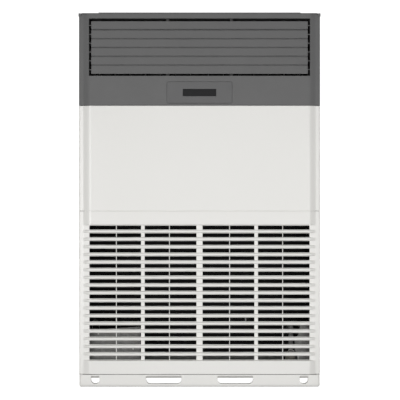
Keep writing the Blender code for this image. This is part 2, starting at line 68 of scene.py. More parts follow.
LOUVRE_X, LOUVRE_HALF, LOUVRE_END, PIN_R = 0.5400, 0.0192, 0.0212, 0.0025
VANE_X = (0.045, 0.121, 0.198, 0.274, 0.350, 0.427, 0.503)
VANE_Y, VANE_CHORD, VANE_Z, VANE_T, VANE_PIN_R = -0.127, 0.060, (1.5545, 1.8385), 0.002, 0.002
PANEL_X, PANEL_Z, PANEL_R = 0.163, (1.4137, 1.5220), 0.010
GLASS_X, GLASS_Z = 0.083, (1.4496, 1.4854)


def smooth(t):
    t = min(1.0, max(0.0, t))
    return t * t * (3 - 2 * t)


# ================================================================ materials
def finish(name, colour, rough, metallic=0.0, tint=0.02, tint_scale=7.0, speck=0.0,
           speck_scale=500.0, grain=900.0, bump=0.05, deep=0.0002, rough_var=0.05,
           rough_scale=25.0, coat=0.0, coat_rough=0.1, cells=0.0, cell_scale=90.0,
           specular=0.5, streak=None, floor_shade=None):
    """Procedural finish: broad and fine colour variation, uneven gloss and surface grain."""
    mat = bpy.data.materials.new(name)
    mat.use_nodes = True
    tree = mat.node_tree
    new, link = tree.nodes.new, tree.links.new
    shader = tree.nodes["Principled BSDF"]
    shader.inputs["Metallic"].default_value = metallic
    shader.inputs["Specular IOR Level"].default_value = specular
    shader.inputs["Coat Weight"].default_value = coat
    shader.inputs["Coat Roughness"].default_value = coat_rough
    where = new("ShaderNodeTexCoord")
    source = where.outputs["Object"]
    if streak is not None:
        scale = new("ShaderNodeMapping")
        scale.inputs["Scale"].default_value = streak
        link(source, scale.inputs["Vector"])
        source = scale.outputs["Vector"]

    def noise(size, detail, roughness=0.5):
        node = new("ShaderNodeTexNoise")
        node.inputs["Scale"].default_value = size
        node.inputs["Detail"].default_value = detail
        node.inputs["Roughness"].default_value = roughness
        link(source, node.inputs["Vector"])
        return node.outputs["Fac"]

    def ranged(value, low, high, start=0.3, stop=0.7):
        node = new("ShaderNodeMapRange")
        node.inputs["From Min"].default_value = start
        node.inputs["From Max"].default_value = stop
        node.inputs["To Min"].default_value = low
        node.inputs["To Max"].default_value = high
        link(value, node.inputs["Value"])
        return node.outputs["Result"]

    def blend(fac, first, second):
        node = new("ShaderNodeMix")
        node.data_type = "RGBA"
        if isinstance(fac, float):
            node.inputs[0].default_value = fac
        else:
            link(fac, node.inputs[0])
        for socket, value in ((node.inputs[6], first), (node.inputs[7], second)):
            if isinstance(value, tuple):
                socket.default_value = (*value, 1.0)
            else:
                link(value, socket)
        return node.outputs[2]

    dark = tuple(c * (1 - tint) for c in colour)
    pale = tuple(min(1.0, c * (1 + tint)) for c in colour)
    paint = blend(ranged(noise(tint_scale, 3.0), 0.0, 1.0), dark, pale)
    if speck:
        fleck = tuple(c * (1 - speck) for c in colour)
        paint = blend(ranged(noise(speck_scale, 2.0), 0.0, 0.5, 0.45, 0.75), paint, fleck)
    if floor_shade:
        # painted shade: the paint is darkened just above the floor, standing for shade on the downward-facing
        # rolled edge of the skirt
        axes = new("ShaderNodeSeparateXYZ")
        link(where.outputs["Object"], axes.inputs["Vector"])
        for low, high, amount in floor_shade:
            shade_colour = tuple(c * amount for c in colour)
            paint = blend(ranged(axes.outputs["Z"], 0.0, 1.0, low, high), shade_colour, paint)
    height = noise(grain, 2.0)
    if cells:
        spangle = new("ShaderNodeTexVoronoi")
        spangle.inputs["Scale"].default_value = cell_scale
        link(source, spangle.inputs["Vector"])
        split = new("ShaderNodeSeparateColor")
        link(spangle.outputs["Color"], split.inputs["Color"])
        flake = tuple(min(1.0, c * (1 + cells)) for c in colour)
        paint = blend(ranged(split.outputs["Red"], 0.0, 1.0, 0.0, 1.0), paint, flake)
        link(ranged(split.outputs["Green"], rough - rough_var, rough + rough_var, 0.0, 1.0),
             shader.inputs["Roughness"])
    else:
        link(ranged(noise(rough_scale, 4.0), rough - rough_var, rough + rough_var),
             shader.inputs["Roughness"])
    link(paint, shader.inputs["Base Color"])
    dent = new("ShaderNodeBump")
    dent.inputs["Strength"].default_value = bump
    dent.inputs["Distance"].default_value = deep
    link(height, dent.inputs["Height"])
    link(dent.outputs["Normal"], shader.inputs["Normal"])
    return mat


WHITE_PLASTIC = finish("white_moulding", (0.775, 0.767, 0.738), 0.30, specular=0.7, tint=0.002, speck=0.004,
                       grain=1400.0, bump=0.05, deep=0.0001, rough_var=0.008)
WHITE_PAINT = finish("white_powder_coat", (0.775, 0.767, 0.738), 0.34, specular=0.7, tint=0.003, speck=0.006,
                     grain=420.0, bump=0.12, deep=0.0002, speck_scale=900.0, rough_var=0.015)
# painted shade: the skirt's paint darkens towards the floor, standing for shade on its rolled bottom edge
SKIRT_PAINT = finish("skirt_powder_coat", (0.775, 0.767, 0.738), 0.34, specular=0.7, tint=0.003, speck=0.006,
                     grain=420.0, bump=0.12, deep=0.0002, speck_scale=900.0, rough_var=0.015,
                     floor_shade=((0.002, 0.019, 0.80), (0.0015, 0.0065, 0.60)))
# painted shade: a darker copy of the skirt paint for the metal turned in behind the holes, standing for the
# shade in those recesses
TURN_IN_SHADE_PAINT = finish("skirt_turn_in_painted_shade", (0.640, 0.632, 0.606), 0.45, specular=0.4, tint=0.01, speck=0.02,
                     grain=420.0, bump=0.14, deep=0.0002, speck_scale=900.0, rough_var=0.02)
# painted shade: dark grey for the panel's foot strips, standing for the shadow line in the seam above the
# skirt
SEAM_SHADE_STRIP = finish("seam_strip_painted_shade", (0.520, 0.514, 0.495), 0.45, specular=0.4, tint=0.004, speck=0.006,
                    grain=1400.0, bump=0.05, deep=0.0001, rough_var=0.02)
GREY_PLASTIC = finish("grey_moulding", (0.134, 0.134, 0.134), 0.46, specular=0.25, tint=0.02, speck=0.06,
                      grain=1200.0, bump=0.18, deep=0.00018)
GREY_BLADE = finish("grey_blade", (0.133, 0.133, 0.133), 0.46, specular=0.25, tint=0.02, speck=0.05,
                    grain=1300.0, bump=0.15, deep=0.00015)
GREY_CONTROL = finish("grey_control", (0.127, 0.127, 0.128), 0.46, specular=0.25, tint=0.02, speck=0.04,
                      grain=1600.0, bump=0.12, deep=0.00012)
GREY_PAINT = finish("grey_powder_coat", (0.134, 0.134, 0.134), 0.44, specular=0.25, tint=0.02, speck=0.04,
                    grain=420.0, bump=0.18, deep=0.00025, speck_scale=900.0)
WINDOW = finish("smoked_window", (0.012, 0.012, 0.013), 0.30, specular=0.10, tint=0.05, grain=60.0, bump=0.01,
                deep=0.0001, rough_var=0.02)
FOAM = finish("black_foam", (0.010, 0.010, 0.010), 0.92, tint=0.15, tint_scale=30.0, speck=0.3,
              speck_scale=350.0, grain=380.0, bump=0.6, deep=0.0012, specular=0.15)
ZINC = finish("galvanised_sheet", (0.17, 0.17, 0.163), 0.50, metallic=0.5, tint=0.04, cells=0.30,
              cell_scale=75.0, grain=300.0, bump=0.06, rough_var=0.10)
BRASS = finish("forged_brass", (0.185, 0.178, 0.155), 0.45, metallic=0.5, tint=0.08, tint_scale=30.0,
               grain=700.0, bump=0.15, rough_var=0.08)
LAGGING = finish("pipe_lagging", (0.17, 0.17, 0.165), 0.85, tint=0.12, tint_scale=40.0,
                 grain=500.0, bump=0.4, deep=0.0006, specular=0.2)
CAPILLARY = finish("capillary_tube", (0.60, 0.585, 0.55), 0.42, metallic=0.2, tint=0.04, grain=1200.0,
                   bump=0.05)
CLIP = finish("clip_steel", (0.150, 0.150, 0.144), 0.48, metallic=0.5, tint=0.05, grain=1200.0,
              bump=0.08)
STEEL = finish("screw_steel", (0.50, 0.50, 0.48), 0.32, metallic=1.0, tint=0.05, grain=1200.0,
               bump=0.08)


# ================================================================ mesh helpers
def add(name, mesh, mat, body="cabinet", slot=None, replaces=(), weighted=True):
    obj = bpy.data.objects.new(name, mesh)
    bpy.context.scene.collection.objects.link(obj)
    mesh.materials.clear()
    mesh.materials.append(mat)
    mesh.shade_smooth()
    if weighted:
        mod = obj.modifiers.new("normals", "WEIGHTED_NORMAL")
        mod.keep_sharp = True
        mod.weight = 60
    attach(obj, body)
    if replaces:
        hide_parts(*replaces)
    return obj


def mesh_of(name, verts, faces, weld=2e-7):
    mesh = bpy.data.meshes.new(name)
    mesh.from_pydata([tuple(map(float, v)) for v in verts], [], [tuple(f) for f in faces])
    bm = bmesh.new()
    bm.from_mesh(mesh)
    if weld:
        bmesh.ops.remove_doubles(bm, verts=bm.verts, dist=weld)
        bmesh.ops.dissolve_degenerate(bm, edges=bm.edges, dist=1e-8)
    bmesh.ops.recalc_face_normals(bm, faces=bm.faces)
    bm.to_mesh(mesh)
    bm.free()
    return mesh


def joined(name, meshes):
    bm = bmesh.new()
    for mesh in meshes:
        bm.from_mesh(mesh)
        bpy.data.meshes.remove(mesh)
    mesh = bpy.data.meshes.new(name)
    bm.to_mesh(mesh)
    bm.free()
    return mesh


def arc(cx, cy, radius, start, stop, steps):
    return [(cx + radius * math.cos(math.radians(start + (stop - start) * i / steps)),
             cy + radius * math.sin(math.radians(start + (stop - start) * i / steps)))
            for i in range(steps + 1)]


def round_rect(x0, x1, z0, z1, radius, steps=6):
    """Counter-clockwise outline."""
    return (arc(x1 - radius, z0 + radius, radius, -90, 0, steps)
            + arc(x1 - radius, z1 - radius, radius, 0, 90, steps)
            + arc(x0 + radius, z1 - radius, radius, 90, 180, steps)
            + arc(x0 + radius, z0 + radius, radius, 180, 270, steps))


def fillet(points, radii, steps=4, closed=True):
    """Rounds the corners of a polyline."""
    count = len(points)
    if isinstance(radii, (int, float)):
        radii = [radii] * count
    out = []
    for i, (point, radius) in enumerate(zip(points, radii)):
        if radius <= 0 or (not closed and i in (0, count - 1)):
            out.append(point)
            continue
        at = Vector(point)
        a = Vector(points[i - 1]) - at
        b = Vector(points[(i + 1) % count]) - at
        half = a.angle(b) / 2
        if half > math.pi / 2 - 0.01:
            out.append(point)
            continue
        reach = radius / math.tan(half)
        start, stop = at + a.normalized() * reach, at + b.normalized() * reach
        centre = at + (a.normalized() + b.normalized()).normalized() * (radius / math.sin(half))
        va, vb = start - centre, stop - centre
        sweep = va.angle_signed(vb)
        for k in range(steps + 1):
            turn = -sweep * k / steps
            c, s = math.cos(turn), math.sin(turn)
            out.append((centre.x + va.x * c - va.y * s, centre.y + va.x * s + va.y * c))
    return out


def mitres(loop):
    """Unit mitre vectors to the left of each corner's path."""
    loop = np.asarray(loop, float)
    ahead = np.roll(loop, -1, 0) - loop
    behind = loop - np.roll(loop, 1, 0)
    n1 = np.stack([-behind[:, 1], behind[:, 0]], 1) / np.linalg.norm(behind, axis=1)[:, None]
    n2 = np.stack([-ahead[:, 1], ahead[:, 0]], 1) / np.linalg.norm(ahead, axis=1)[:, None]
    total = n1 + n2
    return total / np.maximum(1e-9, (total * n1).sum(1))[:, None]


def split_at(loop, cols, rows):
    """Adds points where the loop crosses the given column and row lines."""
    out = []
    count = len(loop)
    for i in range(count):
        a, b = np.array(loop[i], float), np.array(loop[(i + 1) % count], float)
        out.append(tuple(a))
        cuts = []
        for axis, lines in ((0, cols), (1, rows)):
            for line in lines:
                if (a[axis] - line) * (b[axis] - line) < 0:
                    cuts.append((line - a[axis]) / (b[axis] - a[axis]))
        for t in sorted(cuts):
            if 1e-4 < t < 1 - 1e-4 and (not out or np.hypot(*(a + (b - a) * t - out[-1])) > 1e-6):
                out.append(tuple(a + (b - a) * t))
    return out


def inside(point, loop):
    x, y = point
    hit = False
    for (x0, y0), (x1, y1) in zip(loop, loop[1:] + loop[:1]):
        if (y0 > y) != (y1 > y) and x < (x1 - x0) * (y - y0) / (y1 - y0) + x0:
            hit = not hit
    return hit


def sheet(name, loops, place, depth, radius, cols=(), rows=(), steps=3, back_radius=0.0):
    """Closed plate with rounded edges.

    The first loop is the outside (counter-clockwise), the rest are holes
    (clockwise), in the plate's own two coordinates.  place(s, t, d) gives the
    point at depth d behind the front face.
    """
    loops = [split_at(loop, cols, rows) for loop in loops]
    loops = [np.array(loop, float) for loop in loops]
    turned = [mitres(loop) for loop in loops]
    face_loops = [loop + mitre * radius for loop, mitre in zip(loops, turned)]
    low = loops[0].min(0) - 1.0
    high = loops[0].max(0) + 1.0
    verts, edges, index = [], [], []
    for loop in face_loops:
        start = len(verts)
        verts += [Vector(p) for p in loop]
        index.append(list(range(start, len(verts))))
        edges += [(start + i, start + (i + 1) % len(loop)) for i in range(len(loop))]
    box = face_loops[0]
    for line in cols:
        if box[:, 0].min() < line < box[:, 0].max():
            verts += [Vector((line, box[:, 1].min())), Vector((line, box[:, 1].max()))]
            edges.append((len(verts) - 2, len(verts) - 1))
    for line in rows:
        if box[:, 1].min() < line < box[:, 1].max():
            verts += [Vector((box[:, 0].min(), line)), Vector((box[:, 0].max(), line))]
            edges.append((len(verts) - 2, len(verts) - 1))
    flat, _, tris, origin, _, _ = delaunay_2d_cdt(verts, edges, [], 0, 2e-7)
    where = {}
    for new, olds in enumerate(origin):
        for old in olds:
            where[old] = new
    rings = [[where[i] for i in loop] for loop in index]
    shapes = [[tuple(p) for p in loop] for loop in face_loops]
    keep = []
    for tri in tris:
        cx = sum(flat[i][0] for i in tri) / 3
        cy = sum(flat[i][1] for i in tri) / 3
        if inside((cx, cy), shapes[0]) and not any(inside((cx, cy), s) for s in shapes[1:]):
            keep.append(tuple(tri))
    out, faces = [], []
    used = sorted({i for tri in keep for i in tri})
    number = {old: new for new, old in enumerate(used)}
    out += [place(flat[i][0], flat[i][1], 0.0) for i in used]
    faces += [tuple(number[i] for i in tri) for tri in keep]
    # back face: the same net, its edges at the loops themselves
    shift = len(out)
    edge_at = {}
    for ring, loop, mitre in zip(rings, loops, turned):
        for v, p, m in zip(ring, loop, mitre):
            edge_at[v] = p + m * back_radius
    for i in used:
        s, t = edge_at.get(i, flat[i])
        out.append(place(s, t, depth))
    faces += [tuple(shift + number[i] for i in reversed(tri)) for tri in keep]
    for ring, loop, mitre in zip(rings, loops, turned):
        count = len(ring)
        chains = [[number[i] for i in ring]]
        levels = [(radius * (1 - math.sin(math.radians(90 * k / steps))),
                   radius * (1 - math.cos(math.radians(90 * k / steps))))
                  for k in range(1, steps + 1)]
        if back_radius:
            levels += [(back_radius * (1 - math.cos(math.radians(90 * k / steps))),
                        depth - back_radius * (1 - math.sin(math.radians(90 * k / steps))))
                       for k in range(0, steps)]
        for off, d in levels:
            start = len(out)
            for p, m in zip(loop, mitre):
                s, t = p + m * off
                out.append(place(s, t, d))
            chains.append(list(range(start, start + count)))
        chains.append([shift + number[i] for i in ring])
        for a, b in zip(chains, chains[1:]):
            for i in range(count):
                j = (i + 1) % count
                faces.append((a[i], a[j], b[j], b[i]))
    return mesh_of(name, out, faces)


def extrusion(name, section, low, high, axis="X", edge=0.0004):
    """A section drawn in the two other axes, extruded, with softly rounded ends."""
    section = np.array(section, float)
    area = 0.5 * np.sum(section[:, 0] * np.roll(section[:, 1], -1)
                        - np.roll(section[:, 0], -1) * section[:, 1])
    if area < 0:
        section = section[::-1]
    mitre = mitres(section)
    stations = [(low, edge), (low + edge * 0.3, edge * 0.3), (low + edge, 0.0),
                (high - edge, 0.0), (high - edge * 0.3, edge * 0.3), (high, edge)]
    rings, verts, faces = [], [], []
    for at, inset in stations:
        ring = section + mitre * inset
        start = len(verts)
        for u, v in ring:
            verts.append({"X": (at, u, v), "Y": (u, at, v), "Z": (u, v, at)}[axis])
        rings.append(list(range(start, len(verts))))
    count = len(section)
    for a, b in zip(rings, rings[1:]):
        for i in range(count):
            j = (i + 1) % count
            faces.append((a[i], a[j], b[j], b[i]))
    faces.append(tuple(reversed(rings[0])))
    faces.append(tuple(rings[-1]))
    return mesh_of(name, verts, faces, weld=0)


def turned_rod(name, centre, axis, profile, sides=24):
    """Turned solid: profile is (distance along the axis, radius) from end to end."""
    verts, faces = [], []
    for along, radius in profile:
        for k in range(sides):
            a = 2 * math.pi * k / sides
            u, v = radius * math.cos(a), radius * math.sin(a)
            point = {"X": (along, u, v), "Y": (u, along, v), "Z": (u, v, along)}[axis]
            verts.append(tuple(c + p for c, p in zip(centre, point)))
    for ring in range(len(profile) - 1):
        for k in range(sides):
            a, b = ring * sides, (ring + 1) * sides
            m = (k + 1) % sides
            faces.append((a + k, a + m, b + m, b + k))
    faces.append(tuple(range(sides)))
    faces.append(tuple(range((len(profile) - 1) * sides, len(profile) * sides)))
    return mesh_of(name, verts, faces, weld=0)


# ================================================================ plan of the front panels
def plan_table():
    points = [(x, FRONT) for x in np.linspace(0.0, FLAT_X, 12)]
    for i in range(1, 97):
        t = i / 96
        points.append((FLAT_X + (STRIP_X - FLAT_X) * t, FRONT + STEP * smooth(t ** 1.4)))
    y0 = FRONT + STEP + STRIP_FALL
    points += arc(HALF_W - CORNER_R, y0 + CORNER_R, CORNER_R, -83, 0, 40)
    points += [(HALF_W, y) for y in np.linspace(y0 + CORNER_R, PANEL_BACK, 6)[1:]]
    points = np.array(points)
    s = np.concatenate([[0.0], np.cumsum(np.hypot(*np.diff(points, axis=0).T))])
    tangent = np.gradient(points, s, axis=0)
    tangent /= np.linalg.norm(tangent, axis=1)[:, None]
    return s, points, np.stack([tangent[:, 1], -tangent[:, 0]], 1)


PLAN_S, PLAN_P, PLAN_N = plan_table()
S_END = float(PLAN_S[-1])


def s_of(x):
    """Distance along the plan at which the face has reached x."""
    k = int(np.argmax(PLAN_P[:, 0] >= abs(x) - 1e-9))
    if k == 0:
        return x
    x0, x1 = PLAN_P[k - 1, 0], PLAN_P[k, 0]
    t = (abs(x) - x0) / (x1 - x0) if x1 > x0 else 0.0
    return math.copysign(PLAN_S[k - 1] + t * (PLAN_S[k] - PLAN_S[k - 1]), x)


S_FLAT, S_STRIP, S_CORNER = s_of(FLAT_X), s_of(STRIP_X), s_of(HALF_W - CORNER_R)
S_SIDE = S_CORNER + CORNER_R * math.pi / 2


def on_plan(s, d=0.0):
    sign = -1.0 if s < 0 else 1.0
    s = abs(s)
    x, y = np.interp(s, PLAN_S, PLAN_P[:, 0]), np.interp(s, PLAN_S, PLAN_P[:, 1])
    nx, ny = np.interp(s, PLAN_S, PLAN_N[:, 0]), np.interp(s, PLAN_S, PLAN_N[:, 1])
    size = math.hypot(nx, ny)
    return sign * (x - nx / size * d), y - ny / size * d


def place_front(s, z, d):
    x, y = on_plan(s, d)
    return (x, y, z)


PLAN_COLS = [float(v) for v in (
    [S_FLAT + (S_STRIP - S_FLAT) * i / 16 for i in range(17)]
    + [(S_STRIP + S_CORNER) / 2, S_CORNER]
    + [S_CORNER + (S_SIDE - S_CORNER) * i / 8 for i in range(1, 9)])]
PLAN_COLS = sorted([-c for c in PLAN_COLS] + PLAN_COLS)


def rect(x0, x1, z0, z1):
    return [(x0, z0), (x1, z0), (x1, z1), (x0, z1)]


def hole(loop):
    return list(reversed(loop))


# ================================================================ upper front panel
add("upper_panel_skin", sheet("upper_panel_skin", [rect(-S_END, S_END, *UPPER_Z)], place_front,
                              SHELL, 0.0012, PLAN_COLS),
    WHITE_PLASTIC, slot="white_plastic", replaces=("upper_front_panel",))

# ================================================================ head bezel
S_OUT = s_of(OUTLET_X)
add("bezel_skin", sheet("bezel_skin", [
    rect(-S_END, S_END, *HEAD_Z), hole(rect(-S_OUT, S_OUT, *OUTLET_Z)),
    hole(round_rect(-PANEL_X, PANEL_X, *PANEL_Z, PANEL_R, 8))],
    place_front, SHELL, 0.0010, PLAN_COLS), GREY_PLASTIC, slot="grey_plastic",
    replaces=("head_bezel",))


def place_flat(y0):
    return lambda s, z, d: (s, y0 + d, z)


edge = 0.0010
control = [sheet("control_plate", [
    round_rect(-PANEL_X + edge, PANEL_X - edge, PANEL_Z[0] + 1.6 * edge, PANEL_Z[1] - edge,
               PANEL_R - edge, 8),
    hole(round_rect(-GLASS_X - 0.0003, GLASS_X + 0.0003, GLASS_Z[0] - 0.0003,
                    GLASS_Z[1] + 0.0003, 0.0012, 3))],
    place_flat(FRONT + 0.0002), 0.0050, 0.0006)]
control.append(sheet("control_flange", [
    round_rect(-PANEL_X - 0.006, PANEL_X + 0.006, PANEL_Z[0] - 0.0045, PANEL_Z[1] + 0.006,
               0.003, 3)], place_flat(FRONT + 0.0054), 0.0060, 0.0006))
add("control_plate", joined("control_plate", control), GREY_CONTROL, slot="grey_plastic",
    replaces=("control_panel",))
add("window_pane", sheet("window_pane", [
    round_rect(-GLASS_X, GLASS_X, *GLASS_Z, 0.0010, 3)], place_flat(FRONT + 0.0004), 0.0038,
    0.0005), WINDOW, slot="display", replaces=("display_window",))


# ================================================================ lower front panel
def lower_panel():
    rim = 0.0005
    wall_y = FRONT + GRILLE_WALL
    floor_y = FRONT + GROOVE_DEPTH
    cols = sorted(set(
        [-S_END, S_END] + PLAN_COLS
        + [s_of(x0) - rim if abs(x0) < FLAT_X else s_of(x0 - rim) for x0, _ in SLOT_COLUMNS]
        + [s_of(x1) + rim if abs(x1) < FLAT_X else s_of(x1 + rim) for _, x1 in SLOT_COLUMNS]))
    # rows: height, setback of the rounded top and bottom edges, groove depth
    rows = []
    z0, z1, r = LOWER_Z[0], LOWER_Z[1], 0.0009
    turn = [(r * (1 - math.cos(math.radians(30 * k))), r * (1 - math.sin(math.radians(30 * k))))
            for k in range(4)]
    rows = [(z0 + rise, setback, 0.0) for rise, setback in turn]

    def half(floor, slot):
        path = fillet([(0.0170, 0.0), (GROOVE_FACE / 2, 0.0), (floor, GROOVE_DEPTH),
                       (0.0, GROOVE_DEPTH)], [0, 0.0009, 0.0005, 0], 4, closed=False)
        return [(dz, g) for dz, g in path if dz > slot + rim + 1e-5]

    below, above = half(FLOOR_LOW, SLOT_LOW), half(FLOOR_HIGH, SLOT_HIGH)
    slot_rows = []
    for i in reversed(range(ROWS)):
        zc = ROW_TOP - ROW_PITCH * i
        for dz, g in below:
            rows.append((zc - dz, 0.0, g))
        rows.append((zc - SLOT_LOW - rim, 0.0, GROOVE_DEPTH))
        slot_rows.append((len(rows) - 1, zc))
        rows.append((zc + SLOT_HIGH + rim, 0.0, GROOVE_DEPTH))
        for dz, g in reversed(above):
            rows.append((zc + dz, 0.0, g))
    rows += [(z1 - rise, setback, 0.0) for rise, setback in reversed(turn)]
    cols = np.array(cols)
    n_col, n_row = len(cols), len(rows)

    def groove(s, x, y, g):
        """Face pushed back to the groove's bed, with a soft inside edge."""
        if g <= 0 or abs(s) > S_STRIP + 1e-6:
            return y
        bed = FRONT + g
        k = 0.0006
        h = max(0.0, min(1.0, 0.5 + 0.5 * (bed - y) / k))
        return y * (1 - h) + bed * h + k * h * (1 - h)

    verts, front = [], np.zeros((n_row, n_col), int)
    for j, (z, e, g) in enumerate(rows):
        for i, s in enumerate(cols):
            x, y = on_plan(s, e)
            front[j, i] = len(verts)
            verts.append((x, groove(s, x, y, g), z))
    faces, holes = [], []
    col_of = {}
    for i, s in enumerate(cols):
        col_of[round(float(s), 7)] = i
    spans = []
    for x0, x1 in SLOT_COLUMNS:
        a = s_of(x0) - rim if abs(x0) < FLAT_X else s_of(x0 - rim)
        b = s_of(x1) + rim if abs(x1) < FLAT_X else s_of(x1 + rim)
        spans.append((col_of[round(float(a), 7)], col_of[round(float(b), 7)], x0, x1))
    gone = set()
    for j, zc in slot_rows:
        for a, b, x0, x1 in spans:
            gone.update((j, i) for i in range(a, b))
            holes.append((j, a, b, x0, x1, zc))
    for j in range(n_row - 1):
        for i in range(n_col - 1):
            if (j, i) not in gone:
                faces.append((front[j, i], front[j, i + 1], front[j + 1, i + 1], front[j + 1, i]))
    # back face
    back = np.zeros((n_row, n_col), int)
    for j, (z, e, g) in enumerate(rows):
        for i, s in enumerate(cols):
            x, y = on_plan(s, SHELL)
            if abs(s) <= S_CORNER:
                x, y = on_plan(s, 0.0)[0], wall_y
                x = math.copysign(min(abs(x), HALF_W - CORNER_R), x)
            back[j, i] = len(verts)
            verts.append((x, y, z))
    edge_point = {}
    for j, a, b, x0, x1, zc in holes:
        ring = ([(j, i) for i in range(a, b + 1)] + [(j + 1, i) for i in range(b, a - 1, -1)])
        outer = [front[p] for p in ring]
        goal = []
        for jj, i in ring:
            x = min(max(verts[front[jj, i]][0], x0), x1)
            z = zc + (SLOT_HIGH if rows[jj][0] > zc else -SLOT_LOW)
            goal.append((x, z))
            bx, by, bz = verts[back[jj, i]]
            verts[back[jj, i]] = (x, by, z)
        chains = [outer]
        for k in range(1, 4):
            a0 = math.radians(90 * k / 3)
            start = len(verts)
            for v, (gx, gz) in zip(outer, goal):
                x, y, z = verts[v]
                t = math.sin(a0)
                verts.append((x + (gx - x) * t, y + rim * (1 - math.cos(a0)), z + (gz - z) * t))
            chains.append(list(range(start, start + len(outer))))
        chains.append([back[p] for p in ring])
        count = len(ring)
        for p, q in zip(chains, chains[1:]):
            for k in range(count):
                m = (k + 1) % count
                faces.append((p[k], q[k], q[m], p[m]))
    for j in range(n_row - 1):
        for i in range(n_col - 1):
            if (j, i) not in gone:
                faces.append((back[j, i], back[j + 1, i], back[j + 1, i + 1], back[j, i + 1]))
    for i in range(n_col - 1):
        faces.append((front[0, i], back[0, i], back[0, i + 1], front[0, i + 1]))
        faces.append((front[-1, i], front[-1, i + 1], back[-1, i + 1], back[-1, i]))
    for j in range(n_row - 1):
        faces.append((front[j, 0], front[j + 1, 0], back[j + 1, 0], back[j, 0]))
        faces.append((front[j, -1], back[j, -1], back[j + 1, -1], front[j + 1, -1]))
    panel = mesh_of("lower_panel_skin", verts, faces)
    ribs = []
    for x in RIB_X:
        section = fillet([(x - 0.0017, wall_y - 0.0002), (x + 0.0017, wall_y - 0.0002),
                          (x + 0.0013, wall_y + 0.0060), (x - 0.0013, wall_y + 0.0060)],
                         0.0005, 3)
        ribs.append(extrusion("rib", section, ROW_TOP - ROW_PITCH * (ROWS - 1) - 0.02,
                              ROW_TOP + 0.02, "Z"))
    return joined("lower_panel_skin", [panel] + ribs)


add("lower_panel_skin", lower_panel(), WHITE_PLASTIC, slot="white_plastic",
    replaces=("lower_front_panel",))

# A lip behind the seam between the two panels.
add("seam_lip", sheet("seam_lip", [rect(-s_of(0.5758), s_of(0.5758), LOWER_Z[1] - 0.0060,
                                        UPPER_Z[0] + 0.0060)],
                      lambda s, z, d: place_front(s, z, 0.0031 + d), 0.0015, 0.0003, PLAN_COLS,
                      steps=2), WHITE_PLASTIC, slot="white_plastic")

# Strips that carry the set-back ends of the lower panel down to the skirt; their dark grey is painted shade,
# standing for the shadow line in the seam.
def place_foot(side):
    def place(s, t, d):
        x, y = on_plan(s, 0.0004 + d)
        low = LOWER_Z[0] - 0.2 * (on_plan(s)[1] - FRONT)
        return (side * x, y, low + t)
    return place


for side, tag in ((-1, "left"), (1, "right")):
    add("panel_foot_" + tag, sheet("panel_foot_" + tag, [
        rect(s_of(0.5370), S_CORNER + (S_SIDE - S_CORNER) * 0.8, 0.0, 0.0060)],
        place_foot(side), 0.0016, 0.0004, PLAN_COLS, steps=2), SEAM_SHADE_STRIP, slot="white_plastic")
    # Black blocks behind that strip, set back because the panel is; they are painted shade, a dark fill that
    # makes the seam gap read as shadow.
    add("seam_dark_fill_" + tag, extrusion("seam_dark_fill_" + tag, fillet([
        (-0.1955, 0.0600), (-0.1940, 0.0600), (-0.1940, 0.0656), (-0.1955, 0.0656)], 0.0004, 3),
        min(side * 0.5303, side * 0.5835), max(side * 0.5303, side * 0.5835), "X", 0.0004),
        FOAM, slot="black_foam")

# ================================================================ louvres
louvre_z = [LOUVRE_TOP - LOUVRE_PITCH * i for i in range(LOUVRES)]
for i, zc in enumerate(louvre_z):
    top = LOUVRE_END if i == 0 else LOUVRE_HALF
    if i < LOUVRES - 1:
        low = -LOUVRE_HALF + (0.0014 if i == 0 else 0.0)
        lip = 0.0095 if i == 0 else 0.006
        section = [(-0.003, low), (lip, low), (lip, low - 0.0112), (lip + 0.0025, low - 0.0112),
                   (lip + 0.0025, low + 0.0025), (0.001, low + 0.0025), (0.001, top), (-0.003, top)]
        radii = [0.0012, 0.0008, 0.0008, 0.0008, 0.0012, 0.0006, 0.0015, 0.0015]
    else:
        low = -LOUVRE_END
        section = [(-0.003, low), (0.001, low), (0.001, top), (-0.003, top)]
        radii = 0.0014
    section = [(LOUVRE_Y + y, zc + z) for y, z in fillet(section, radii, 4)]
    name = "louvre_blade_%d" % (i + 1)
    parts = [extrusion(name, section, -LOUVRE_X, LOUVRE_X, "X", 0.0008)]
    for side in (-1, 1):
        x0 = side * (LOUVRE_X - 0.004)
        length = 0.0148
        parts.append(turned_rod(name + "_pin", (x0, LOUVRE_Y, zc), "X", [
            (0.0, PIN_R * 0.9), (side * 0.0036, PIN_R), (side * (length + 0.0032), PIN_R),
            (side * (length + 0.0040), PIN_R * 0.7)], 20))
    add(name, joined(name, parts), GREY_BLADE, body="louvre_%d" % (i + 1), slot="grey_plastic",
        replaces=("louvre_%d" % (i + 1),))

# ================================================================ vanes
vane_x = [-x for x in reversed(VANE_X)] + list(VANE_X)
for i, x in enumerate(vane_x):
    name = "vane_blade_%02d" % (i + 1)
    t, c = VANE_T / 2, VANE_CHORD / 2
    plan = ([(x + t * math.cos(math.radians(a)), VANE_Y - c + t + t * math.sin(math.radians(a)))
             for a in range(180, 361, 30)]
            + [(x + t * math.cos(math.radians(a)), VANE_Y + c - t + t * math.sin(math.radians(a)))
               for a in range(0, 181, 30)])
    parts = [extrusion(name, plan, VANE_Z[0], VANE_Z[1], "Z", 0.0005)]
    for side in (-1, 1):
        z = VANE_Z[1] if side > 0 else VANE_Z[0]
        parts.append(turned_rod(name + "_pin", (x, VANE_Y, z - side * 0.004), "Z", [
            (0.0, VANE_PIN_R), (side * 0.0132, VANE_PIN_R), (side * 0.0140, VANE_PIN_R * 0.7)],
            16))
    add(name, joined(name, parts), GREY_BLADE, body="vane_%02d" % (i + 1), slot="grey_plastic",
        replaces=("vane_%02d" % (i + 1),))


